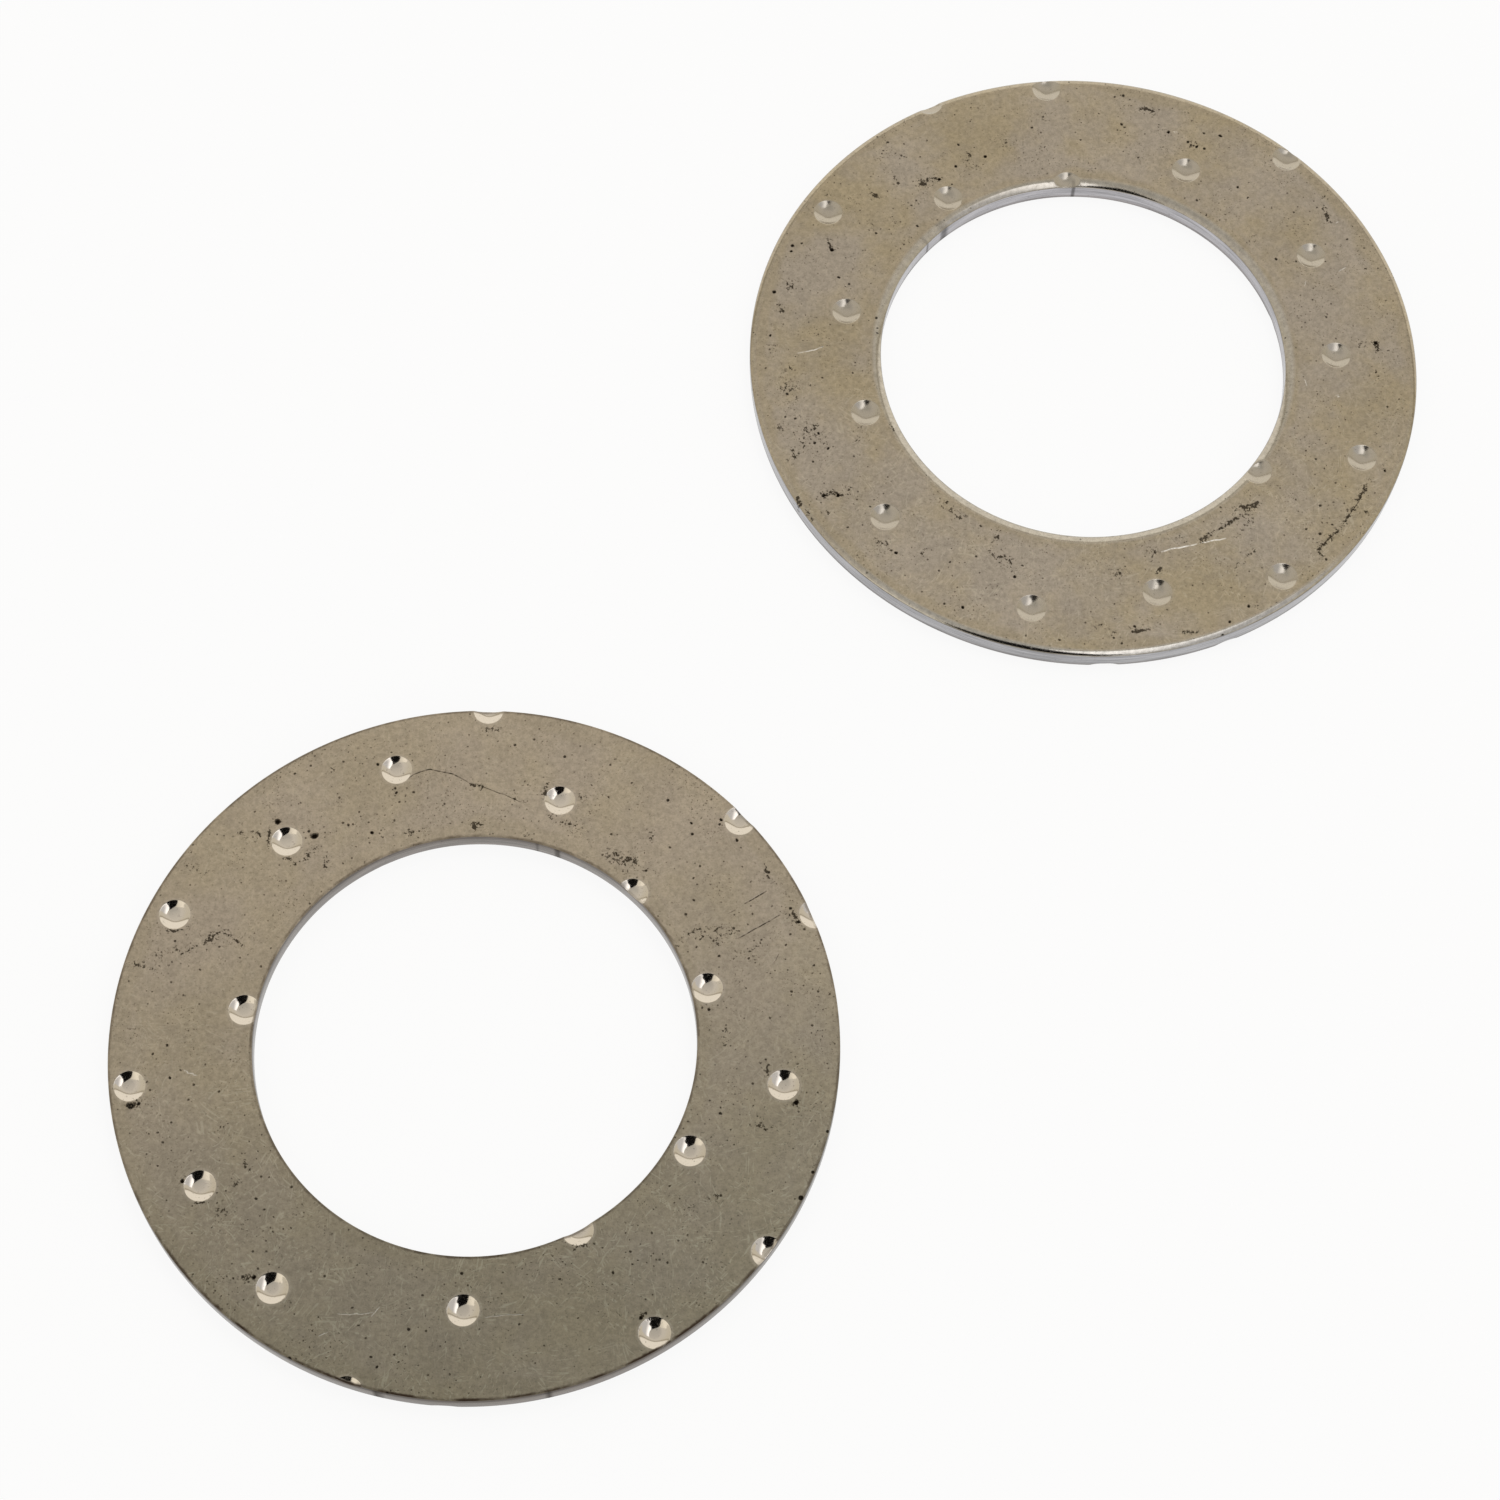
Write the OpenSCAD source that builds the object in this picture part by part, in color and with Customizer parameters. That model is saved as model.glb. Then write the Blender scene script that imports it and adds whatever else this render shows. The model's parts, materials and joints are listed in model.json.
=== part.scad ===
// Pair of flat thrust washers with oil dimples, lying apart on one surface.
// Each is punched from dimpled strip, so its edges cut through the dimples in their way.
// Punching rounds both edges of one face and leaves the edges of the other face sharp.
// Next to the sharp edges the steel tears instead of being cut, so the wall leans in there.
// The left washer lies sharp face up and the right washer lies rounded face up.
// The origin is on the surface that they lie on, midway between the two bores.

/* [Washer] */
// Outer diameter
outer_d = 60; // [50:0.5:70]
// Bore diameter
bore_d = 36.4; // [30:0.1:42]
// Thickness of the strip
thickness = 2; // [1.6:0.1:3]

/* [Rounded edges] */
// Width of the rounded band along the rim
rim_band = 0.65; // [0.3:0.05:1]
// Width of the rounded band along the bore
bore_band = 0.95; // [0.3:0.05:1.2]
// Slope at which a rounded band meets its wall, in degrees
band_slope = 38; // [20:1:60]

/* [Torn walls] */
// Height of the torn part of a wall
torn_h = 0.6; // [0.2:0.05:0.9]
// Distance by which a torn wall leans in at its sharp edge
torn_lean = 0.04; // [0.01:0.01:0.1]

/* [Dimples] */
// Diameter of a dimple at the face
dimple_d = 2.6; // [1.6:0.1:4]
// Depth of a dimple
dimple_depth = 0.38; // [0.2:0.02:0.6]
// Diameter of the flat floor of a dimple
dimple_floor_d = 0.9; // [0.4:0.1:1.2]
// Distance between columns of dimples
column_pitch = 11.15; // [9:0.05:14]
// Distance between the two columns beside the seam, where the dimpling pattern starts again
seam_pitch = 9.5; // [8:0.05:14]

/* [Dimples of the left washer] */
// Angle between its rows of dimples and the X axis, in degrees
left_angle = 38.7; // [-90:0.1:90]
// Distance from the bore's axis to its seam, along the rows
left_seam = 13.35; // [5:0.05:20]
// Distance from the bore's axis to its middle row
left_row = 2.95; // [-5:0.05:5]
// Distance between its rows
left_row_pitch = 10.5; // [9:0.05:14]

/* [Dimples of the right washer] */
// Angle between its rows of dimples and the X axis, in degrees
right_angle = 10.5; // [-90:0.1:90]
// Distance from the bore's axis to its seam, along the rows
right_seam = 17.85; // [5:0.05:20]
// Distance from the bore's axis to its middle row
right_row = -3.05; // [-5:0.05:5]
// Distance between its rows
right_row_pitch = 10.65; // [9:0.05:14]

/* [Layout] */
// Distance between the bores along X
apart_x = 50.2; // [40:0.1:70]
// Distance between the bores along Y
apart_y = 67.4; // [60:0.1:90]

/* [Hidden] */
$fn = 96;
band_facets = 40;
dimple_facets = 18;
steel = [0.60, 0.56, 0.49];
outer_r = outer_d / 2;
bore_r = bore_d / 2;
dimple_r = dimple_d / 2;
floor_r = dimple_floor_d / 2;
// A dimple is part of a sphere that passes through its edge circle and its floor circle.
ball_z = (dimple_r * dimple_r - floor_r * floor_r - dimple_depth * dimple_depth) / (2 * dimple_depth);
ball_r = norm([dimple_r, ball_z]);
// Distance by which a cutter passes the surface that it cuts.
above = 1;
// Columns and rows counted each way from the seam and the middle row.
reach = 5;

// Half section of what punching rolls down at a corner. The band starts at the origin and leaves
// the face along an arc that is level there and meets the wall at band_slope.
module rolled_corner(band) {
    arc_r = band / sin(band_slope);
    band_h = arc_r * (1 - cos(band_slope));
    difference() {
        translate([0, -band_h]) square([band + above, band_h + above]);
        translate([0, -arc_r]) circle(arc_r, $fn = band_facets);
    }
}

// Half section of a washer with its rounded edges up and its torn walls below.
module section() {
    difference() {
        polygon([
            [bore_r + torn_lean, 0],
            [outer_r - torn_lean, 0],
            [outer_r, torn_h],
            [outer_r, thickness],
            [bore_r, thickness],
            [bore_r, torn_h]
        ]);
        translate([outer_r - rim_band, thickness]) rolled_corner(rim_band);
        translate([bore_r + bore_band, thickness]) mirror([1, 0]) rolled_corner(bore_band);
    }
}

// Punched ring, with its rounded edges up or down.
module ring(rounded_up) {
    if (rounded_up)
        rotate_extrude() section();
    else
        translate([0, 0, thickness]) mirror([0, 0, 1]) rotate_extrude() section();
}

// Cutter for one dimple in a face at z = 0: a ball with a flat floor, as wide as the dimple there.
module dimple() {
    $fn = dimple_facets;
    intersection() {
        translate([0, 0, ball_z]) sphere(ball_r);
        translate([0, 0, -dimple_depth]) cylinder(h = dimple_depth + above, r = 2 * dimple_r);
    }
}

// Place of a column along the rows, with the seam between columns 0 and 1.
function column_at(n, seam) =
    seam + (n > 0 ? seam_pitch / 2 + (n - 1) * column_pitch : n * column_pitch - seam_pitch / 2);

// True where a dimple at p would mark the ring.
function marks_ring(p) =
    norm(p) > bore_r - dimple_r && norm(p) < outer_r + dimple_r;

// Dimples of one face, in rows at an angle, where they mark the ring.
module dimples(angle, seam, row, row_pitch) {
    rotate(angle)
        for (n = [-reach:reach], m = [-reach:reach]) {
            p = [column_at(n, seam), row + m * row_pitch];
            if (marks_ring(p))
                translate(p) dimple();
        }
}

// Washer with dimples in both faces. Those below lie between those above.
module washer(rounded_up, angle, seam, row, row_pitch) {
    difference() {
        ring(rounded_up);
        translate([0, 0, thickness])
            dimples(angle, seam, row, row_pitch);
        mirror([0, 0, 1])
            dimples(angle, seam - column_pitch / 2, row - row_pitch / 2, row_pitch);
    }
}

module left_washer() {
    color(steel)
        translate([-apart_x / 2, -apart_y / 2, 0])
            washer(false, left_angle, left_seam, left_row, left_row_pitch);
}

module right_washer() {
    color(steel)
        translate([apart_x / 2, apart_y / 2, 0])
            washer(true, right_angle, right_seam, right_row, right_row_pitch);
}

left_washer();
right_washer();
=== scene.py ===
import json
import math

import bpy
import numpy as np
from bpy.props import BoolProperty, FloatProperty, FloatVectorProperty, IntProperty, PointerProperty
from mathutils import Matrix, Vector
from mathutils.geometry import delaunay_2d_cdt


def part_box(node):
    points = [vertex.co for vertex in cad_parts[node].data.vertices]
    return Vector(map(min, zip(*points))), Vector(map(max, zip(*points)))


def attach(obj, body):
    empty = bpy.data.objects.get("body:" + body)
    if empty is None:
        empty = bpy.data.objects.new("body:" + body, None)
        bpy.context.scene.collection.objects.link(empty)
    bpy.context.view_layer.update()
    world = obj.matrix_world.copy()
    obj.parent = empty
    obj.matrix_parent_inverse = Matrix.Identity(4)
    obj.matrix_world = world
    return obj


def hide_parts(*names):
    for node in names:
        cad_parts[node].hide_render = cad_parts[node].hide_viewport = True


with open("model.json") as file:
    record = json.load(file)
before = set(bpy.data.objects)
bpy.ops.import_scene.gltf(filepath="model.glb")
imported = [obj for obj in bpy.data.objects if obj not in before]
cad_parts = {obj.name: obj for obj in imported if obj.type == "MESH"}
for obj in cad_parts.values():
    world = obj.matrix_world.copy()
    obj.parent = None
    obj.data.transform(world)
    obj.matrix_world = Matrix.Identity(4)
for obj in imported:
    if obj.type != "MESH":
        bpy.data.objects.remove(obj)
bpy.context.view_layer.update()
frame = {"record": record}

bl_info = {
    "name": "Dimpled thrust washers",
    "version": (1, 0, 0),
    "blender": (4, 5, 0),
    "location": "3D View > Sidebar > Thrust washers",
    "description": "Dresses a pair of punched, dimpled steel washers and sets up their studio",
    "category": "Object",
}

MM = 0.001
MOUNTS = {mount["name"]: mount for mount in frame["record"]["mounts"]}
BORE_RADIUS = MOUNTS["left_bore"]["dims"]["r_mm"] * MM
LEFT_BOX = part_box("left_washer")
OUTER_RADIUS = (LEFT_BOX[1].x - LEFT_BOX[0].x) / 2
THICKNESS = LEFT_BOX[1].z - LEFT_BOX[0].z


def linear(hex_colour):
    """Turns an sRGB hex colour into linear RGBA."""
    srgb = np.array([int(hex_colour[i:i + 2], 16) / 255 for i in (1, 3, 5)])
    rgb = np.where(srgb <= 0.04045, srgb / 12.92, ((srgb + 0.055) / 1.055) ** 2.4)
    return (*rgb.tolist(), 1.0)


def length_prop(name, description, default):
    """A length, given in millimetres."""
    return FloatProperty(name=name, description=description, default=default * MM, unit="LENGTH",
                         precision=5)


def angle_prop(name, description, default):
    """An angle, given in degrees."""
    return FloatProperty(name=name, description=description, default=math.radians(default), unit="ROTATION")


def colour_prop(name, description, default):
    """A colour, given as an sRGB hex value."""
    return FloatVectorProperty(name=name, description=description, default=linear(default), subtype="COLOR",
                               size=4)


class StripSettings(bpy.types.PropertyGroup):
    """The dimpled steel strip and the way it is punched."""

    rim_band: length_prop("Rim band", "Width over which punching rolls the rim down", 0.65)
    bore_band: length_prop("Bore band", "Width over which punching rolls the bore's edge down", 0.95)
    band_slope: angle_prop("Band slope", "Slope at which a rolled band meets its corner", 38)
    band_corner: length_prop("Band corner", "Width of the corner between a rolled band and its wall", 0.07)
    edge_width: length_prop("Sharp edge", "Width of the small rounding left on the sharp edges", 0.13)
    edge_slope: angle_prop("Edge slope", "Slope at which a sharp edge's rounding meets its corner", 55)
    edge_corner: length_prop("Edge corner", "Width of the corner between a sharp edge and its wall", 0.02)
    dimple_diameter: length_prop("Dimple", "Diameter of a dimple at the face", 2.6)
    dimple_depth: length_prop("Dimple depth", "Depth of a dimple's floor below the face", 0.38)
    dimple_floor: length_prop("Dimple floor", "Diameter of a dimple's flat floor", 0.9)
    dimple_edge: length_prop("Dimple edge", "Rounding of a dimple's edge", 0.03)
    floor_edge: length_prop("Floor edge", "Rounding of a dimple's floor", 0.06)
    lip_height: length_prop("Lip height", "Height of the lip raised round a dimple", 0.014)
    lip_width: length_prop("Lip width", "Distance over which the lip fades", 0.16)
    column_pitch: length_prop("Column pitch", "Distance between columns of dimples", 11.15)
    seam_pitch: length_prop("Seam pitch", "Distance between the columns where the pattern starts again", 9.5)
    fracture_height: length_prop("Fracture height", "Height of the torn part of the wall", 0.6)
    fracture_taper: length_prop("Fracture taper", "Distance by which the torn wall falls back", 0.04)


def washer_settings(rounded_up, angle, seam, row, row_pitch, steel, stain, wall, bore_wall, cup,
                    polish, hairlines, oil, pits, seed):
    """The settings that each washer has, with one washer's defaults in millimetres and degrees."""
    return {
        "rounded_up": BoolProperty(name="Rounded edges up", description="Lies with the rolled edges up",
                                   default=rounded_up),
        "angle": angle_prop("Row angle", "Angle between the rows of dimples and the X axis", angle),
        "seam": length_prop("Seam", "Distance from the bore's axis to the seam, along the rows", seam),
        "row": length_prop("Middle row", "Distance from the bore's axis to the middle row", row),
        "row_pitch": length_prop("Row pitch", "Distance between the rows", row_pitch),
        "steel": colour_prop("Steel", "Steel of the faces", steel),
        "stain": colour_prop("Stain", "Straw-coloured film of heat and oil on the faces", stain),
        # the near washer's wall colours are darker: partly the cut steel's own brown, partly painted shade
        # of the shadowed floor its walls reflect
        "wall": colour_prop("Rim wall", "Steel of the rim's cut wall", wall),
        "bore_wall": colour_prop("Bore wall", "Steel of the bore's cut wall", bore_wall),
        "cup": colour_prop("Dimple", "Steel of the dimples, burnished by the roll that pressed them", cup),
        "polish": FloatProperty(name="Dimple roughness", description="Roughness of the dimples",
                                default=polish),
        "hairlines": FloatProperty(name="Hairlines", description="Strength of the fine bright scratches",
                                   default=hairlines),
        # oil: how strongly painted shade darkens the near part, standing in for its dark reflection
        "oil": FloatProperty(name="Oil", description="Strength of the film of oil on the near part",
                             default=oil),
        "pits": IntProperty(name="Pits", description="Number of small pits in a face", default=pits, min=0),
        "seed": IntProperty(name="Seed", description="Start of the random numbers for the small pits",
                            default=seed),
    }


class LeftWasherSettings(bpy.types.PropertyGroup):
    """The near washer, which lies with its sharp edges up."""

    __annotations__ = washer_settings(
        rounded_up=False, angle=38.7, seam=13.35, row=2.95, row_pitch=10.5,
        # its wall colours hold painted shade of the shadowed floor the walls reflect, beside the steel's own
        # brown
        steel="#C0B3A0", stain="#BAAD95", wall="#5F5347", bore_wall="#87817C", cup="#E2D9CA",
        polish=0.1, hairlines=0.34, oil=1.0, pits=480, seed=11)


class RightWasherSettings(bpy.types.PropertyGroup):
    """The far washer, which lies with its rounded edges up."""

    __annotations__ = washer_settings(
        rounded_up=True, angle=10.5, seam=17.85, row=-3.05, row_pitch=10.65,
        steel="#BBB0A0", stain="#B4A689", wall="#ACABAD", bore_wall="#B5B3B6", cup="#BFB7A8",
        polish=0.19, hairlines=0.2, oil=0.0, pits=380, seed=23)


class StudioSettings(bpy.types.PropertyGroup):
    """The camera, the light tent and the floor."""

    elevation: angle_prop("Camera elevation", "Angle of the view above the floor", 65.34)
    roll: angle_prop("Camera roll", "Turn of the camera about its view", 2.216)
    distance: length_prop("Camera distance", "Distance from the camera to the point it looks at", 304.43)
    aim_x: length_prop("Aim X", "Place on the floor that the camera looks at", -3.489)
    aim_y: length_prop("Aim Y", "Place on the floor that the camera looks at", -5.603)
    focal_length: FloatProperty(name="Lens", description="Focal length on a 36 mm sensor", default=85.16)
    floor: colour_prop("Floor", "White paper under the washers", "#F4F4F4")


# What the punched steel shows besides its dimples, placed one by one from the photo and kept in millimetres
# from the bore's axis. A pit has its place and its width.
LEFT_PITS = (
    (-17.9, 18.9, 0.65), (-14.7, 17.7, 0.72), (-15.2, 18.1, 0.3), (-27.6, -6.7, 0.8), (-26.9, -6.5, 0.35),
    (-22.7, -12.9, 0.42), (-16.2, -20.6, 0.44), (-17.1, -20.6, 0.3), (-16.6, -21.0, 0.22),
    (26.5, -4.2, 0.5), (26.7, -5.0, 0.22), (14.7, -22.7, 0.36), (15.1, -22.3, 0.28), (12.3, -19.1, 0.3),
    (13.6, -17.3, 0.26), (16.6, -18.1, 0.25), (-12.4, 19.0, 0.26), (-9.9, 18.2, 0.36), (-9.9, 24.5, 0.34),
    (-12.1, 15.3, 0.22), (-12.9, 21.3, 0.22), (-19.9, 19.7, 0.22), (-18.1, 5.8, 0.25), (-21.7, 7.4, 0.24),
    (-19.9, 6.5, 0.22), (-23.1, 5.3, 0.24), (-24.6, -4.2, 0.32), (-22.6, -4.7, 0.26), (-23.8, -3.5, 0.22),
    (-26.2, -2.2, 0.28), (-25.1, -1.4, 0.3), (-20.5, -5.2, 0.25), (-22.9, -6.0, 0.25), (-26.1, -5.3, 0.24),
    (-24.1, -8.0, 0.25), (-25.1, -8.9, 0.26), (-24.6, -9.7, 0.26), (-24.8, -11.7, 0.24),
    (-15.9, -15.0, 0.26), (-16.5, -18.5, 0.26), (-10.6, -20.3, 0.26), (-8.2, -22.8, 0.25),
    (-7.6, -24.2, 0.25), (-6.4, -26.7, 0.28), (5.1, -23.6, 0.25), (8.1, -19.8, 0.26), (-4.0, 21.1, 0.24),
    (-8.1, 19.4, 0.25), (5.9, 25.9, 0.3), (1.6, 26.8, 0.28), (3.2, 27.4, 0.25), (9.8, 22.3, 0.26),
    (9.8, 25.3, 0.25), (10.2, 18.9, 0.26), (11.7, 23.7, 0.25), (13.3, 15.7, 0.3), (15.2, 17.9, 0.26),
    (17.8, 16.3, 0.26), (17.3, 15.2, 0.25), (17.4, 13.2, 0.28), (16.8, 11.9, 0.28), (16.9, 20.2, 0.34),
    (19.4, 20.6, 0.36), (19.3, 20.2, 0.3), (20.8, 18.8, 0.34), (23.6, 16.0, 0.28), (25.5, 12.8, 0.32),
    (26.2, 11.6, 0.3), (19.7, 8.3, 0.28), (17.8, 9.0, 0.25), (25.8, 5.4, 0.28), (28.0, 5.5, 0.25),
    (27.6, 7.8, 0.28), (24.1, 3.0, 0.25), (27.6, 2.5, 0.25),
)
RIGHT_PITS = (
    (-26.5, 10.5, 0.38), (-26.6, 9.9, 0.34), (-22.9, 10.2, 0.42), (-28.0, 5.5, 0.4), (-22.2, 7.3, 0.34),
    (-18.9, 12.2, 0.3), (-11.7, 19.8, 0.34), (-13.2, 18.3, 0.36), (-11.5, 22.2, 0.32), (-15.0, 20.7, 0.22),
    (-9.0, 21.0, 0.36), (-4.7, 24.4, 0.28), (-3.5, 22.3, 0.24), (8.0, 24.5, 0.4), (9.8, 23.5, 0.32),
    (10.6, 23.0, 0.36), (11.3, 22.8, 0.32), (12.8, 24.3, 0.42), (10.5, 17.1, 0.28), (14.3, 18.7, 0.32),
    (15.2, 17.6, 0.3), (19.4, 16.2, 0.25), (24.2, 13.5, 0.28), (26.4, 2.6, 0.42), (26.3, -0.5, 0.28),
    (-28.2, 0.9, 0.34), (-23.4, -3.3, 0.24), (-26.5, -5.1, 0.32), (-25.7, -7.6, 0.28), (-23.6, -9.0, 0.35),
    (-22.7, -10.5, 0.34), (-23.9, -10.0, 0.32), (-24.0, -11.9, 0.28), (-20.4, -11.2, 0.24),
    (-23.0, -15.3, 0.4), (-21.7, -15.2, 0.42), (-16.5, -20.7, 0.38), (-12.2, -25.5, 0.28),
    (-10.6, -25.8, 0.36), (-6.1, -22.6, 0.34), (-9.1, -17.7, 0.28), (-5.1, -28.3, 0.25),
    (-2.2, -28.6, 0.28), (3.2, -28.7, 0.28), (14.3, -24.6, 0.34), (12.6, -26.2, 0.34), (21.2, -19.7, 0.28),
    (26.7, -10.6, 0.3),
)
# A smear of dirt runs through places, each with its width there and how dark it is, up to 1.
LEFT_SMEARS = (
    ((-21.7, 8.7, 0.24, 0.95), (-22.6, 8.2, 0.2, 0.8), (-23.5, 7.4, 0.16, 0.55), (-24.7, 6.7, 0.24, 0.95)),
    ((-22.2, 8.2, 0.14, 0.6), (-22.9, 7.7, 0.18, 0.75), (-23.8, 7.3, 0.12, 0.35)),
    ((-21.1, 8.5, 0.25, 0.7), (-20.7, 8.2, 0.2, 0.5), (-20.2, 7.9, 0.32, 0.95)),
    ((-27.2, 6.4, 0.3, 0.5), (-26.1, 6.3, 0.2, 0.3)),
    ((-28.9, 5.6, 0.25, 0.6), (-27.3, 5.3, 0.22, 0.5), (-25.5, 5.4, 0.12, 0.5)),
    ((-26.5, 8.7, 0.3, 0.5), (-25.6, 8.6, 0.3, 0.9), (-24.9, 8.8, 0.25, 0.6)),
    ((-20.9, 17.7, 0.4, 0.5), (-20.4, 17.4, 0.4, 0.6)),
    ((-19.8, 17.8, 0.35, 0.6), (-19.3, 17.5, 0.35, 0.8)),
    ((-18.6, 18.0, 0.3, 0.7), (-18.4, 16.5, 0.35, 0.6)),
    ((-17.0, 15.6, 0.3, 0.95), (-16.5, 15.5, 0.2, 0.8)), ((-16.1, 15.2, 0.3, 0.7), (-15.8, 14.9, 0.3, 0.6)),
    ((-13.5, 16.0, 0.2, 0.6), (-13.4, 15.4, 0.2, 0.6)),
    ((-25.0, 14.6, 0.35, 0.5), (-24.2, 14.1, 0.35, 0.5)),
    ((-1.9, 23.0, 0.3, 0.95), (-0.9, 22.8, 0.26, 0.8)), ((-6.3, 23.6, 0.35, 0.4), (-5.5, 23.8, 0.25, 0.3)),
    ((-1.0, 28.1, 0.5, 0.6), (0.1, 28.2, 0.5, 0.6)), ((-1.4, 19.4, 0.4, 0.9), (-1.3, 18.9, 0.35, 0.8)),
    ((-7.2, 18.2, 0.2, 0.8), (-6.5, 18.4, 0.2, 0.8)), ((4.5, 23.3, 0.25, 0.8), (4.4, 22.3, 0.35, 0.95)),
    ((6.0, 19.8, 0.5, 0.5), (7.3, 19.6, 0.5, 0.5)), ((10.4, 17.0, 1.3, 0.45), (11.9, 16.3, 1.3, 0.5)),
    ((11.6, 16.8, 0.3, 0.85), (12.3, 16.5, 0.3, 0.85)), ((13.5, 18.7, 0.22, 0.8), (13.8, 18.9, 0.22, 0.7)),
    ((16.7, 9.8, 0.25, 0.6), (18.0, 10.7, 0.22, 0.6)), ((18.3, 10.0, 0.28, 0.8), (18.7, 10.2, 0.25, 0.8)),
    ((19.1, 9.6, 0.28, 0.8), (19.5, 9.7, 0.25, 0.7)), ((20.0, 10.1, 0.22, 0.5), (21.3, 10.6, 0.22, 0.5)),
    ((19.2, 10.5, 0.22, 0.7), (19.6, 10.8, 0.22, 0.8)), ((22.1, 8.7, 0.28, 0.8), (22.9, 9.4, 0.18, 0.6)),
    ((25.7, 12.3, 0.5, 0.7), (26.2, 11.6, 0.4, 0.8)), ((23.3, 16.3, 0.35, 0.7), (23.5, 15.6, 0.3, 0.7)),
    ((24.0, -1.2, 0.25, 0.8), (24.1, -2.0, 0.2, 0.6)), ((22.8, -6.3, 0.18, 0.6), (24.2, -6.5, 0.16, 0.7)),
    ((9.2, -17.2, 0.4, 0.8), (10.3, -16.9, 0.35, 0.8)),
    ((-17.7, -11.2, 0.2, 0.6), (-17.3, -11.8, 0.2, 0.6)),
    ((-21.5, -14.7, 0.24, 0.9), (-20.3, -14.5, 0.2, 0.6)),
)
RIGHT_SMEARS = (
    ((25.1, -12.0, 0.3, 0.5), (24.9, -12.4, 0.55, 0.8), (24.6, -12.9, 0.4, 0.8), (24.2, -13.9, 0.16, 0.6),
     (23.5, -15.0, 0.2, 0.7), (23.2, -15.5, 0.3, 0.9), (22.7, -16.3, 0.18, 0.6)),
    ((22.5, -16.7, 0.5, 0.45), (21.7, -17.4, 0.55, 0.7), (21.0, -18.2, 0.45, 0.8), (20.5, -18.8, 0.4, 1.0),
     (20.7, -19.2, 0.25, 0.8)),
    ((15.1, -14.6, 0.9, 1.0), (14.5, -14.8, 0.6, 0.85), (13.7, -14.8, 0.4, 0.7)),
    ((14.4, -15.2, 0.4, 0.9), (13.6, -15.9, 0.3, 0.8), (12.8, -16.4, 0.45, 0.9), (12.0, -17.0, 0.3, 0.75),
     (10.9, -17.6, 0.3, 0.7), (10.3, -18.3, 0.5, 0.95)),
    ((14.6, -15.9, 1.2, 0.25), (13.6, -17.2, 1.5, 0.2)), ((6.2, -19.5, 0.18, 0.9), (5.9, -20.2, 0.2, 0.9)),
    ((6.6, -21.2, 0.4, 0.85), (6.3, -21.8, 0.25, 0.6)), ((4.3, -27.5, 0.55, 0.85), (5.4, -27.2, 0.35, 0.6)),
    ((8.6, -27.4, 0.5, 0.6), (9.8, -27.3, 0.4, 0.5)), ((-7.6, -17.9, 0.16, 0.6), (-7.5, -18.9, 0.18, 0.7)),
    ((-8.0, -20.4, 0.3, 0.8), (-7.4, -21.4, 0.12, 0.5)),
    ((-7.8, -23.2, 0.16, 0.6), (-7.5, -24.3, 0.14, 0.5)),
    ((-12.1, -15.8, 0.14, 0.7), (-11.0, -17.1, 0.14, 0.7)),
    ((-6.6, -21.0, 0.24, 0.8), (-6.4, -21.5, 0.26, 0.7)),
    ((-18.0, -19.6, 0.18, 0.7), (-16.9, -20.5, 0.24, 0.8)),
    ((-14.0, -20.2, 0.28, 0.6), (-14.3, -20.7, 0.3, 0.6)),
    ((-23.0, -15.3, 0.6, 0.7), (-22.3, -14.9, 0.35, 0.8), (-21.7, -15.1, 0.5, 0.8),
     (-20.8, -15.1, 0.2, 0.5), (-20.7, -14.5, 0.26, 0.9)),
    ((-25.3, -15.6, 0.35, 1.0), (-25.0, -16.3, 0.35, 1.0)),
    ((-24.4, -16.9, 0.25, 0.8), (-23.9, -17.7, 0.3, 0.7)),
    ((-25.0, -9.9, 0.35, 0.7), (-24.9, -10.4, 0.35, 0.7)),
    ((-25.8, -10.9, 0.3, 0.8), (-25.7, -11.5, 0.4, 0.8)),
    ((-17.2, -7.8, 0.3, 0.6), (-16.9, -8.4, 0.3, 0.6)), ((-14.4, 18.2, 0.3, 0.7), (-13.2, 18.4, 0.4, 0.7)),
    ((-16.9, 17.6, 0.35, 0.7), (-17.2, 18.2, 0.25, 0.5)),
    ((-23.3, 11.5, 0.4, 0.8), (-23.2, 10.9, 0.25, 0.6), (-22.9, 10.3, 0.4, 0.8)),
    ((-26.9, 6.4, 0.3, 0.8), (-26.6, 5.9, 0.4, 0.8), (-26.2, 6.3, 0.2, 0.7)),
    ((-27.4, 4.2, 0.6, 0.5), (-27.2, 3.5, 0.6, 0.5)), ((-10.6, 21.3, 0.25, 0.8), (-10.3, 20.8, 0.28, 0.8)),
    ((-10.7, 20.2, 0.35, 0.6), (-10.0, 20.0, 0.3, 0.5)), ((-7.4, 22.9, 0.35, 0.6), (-6.9, 22.3, 0.35, 0.6)),
    ((5.1, 27.0, 0.3, 0.7), (5.7, 27.0, 0.45, 1.0), (6.7, 26.8, 0.25, 0.8)),
    ((22.1, 16.7, 0.3, 0.5), (22.4, 16.1, 0.5, 0.9), (22.5, 15.4, 0.25, 0.6)),
    ((26.4, 2.5, 0.75, 0.85), (26.6, 1.7, 0.25, 0.6)),
)
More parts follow.
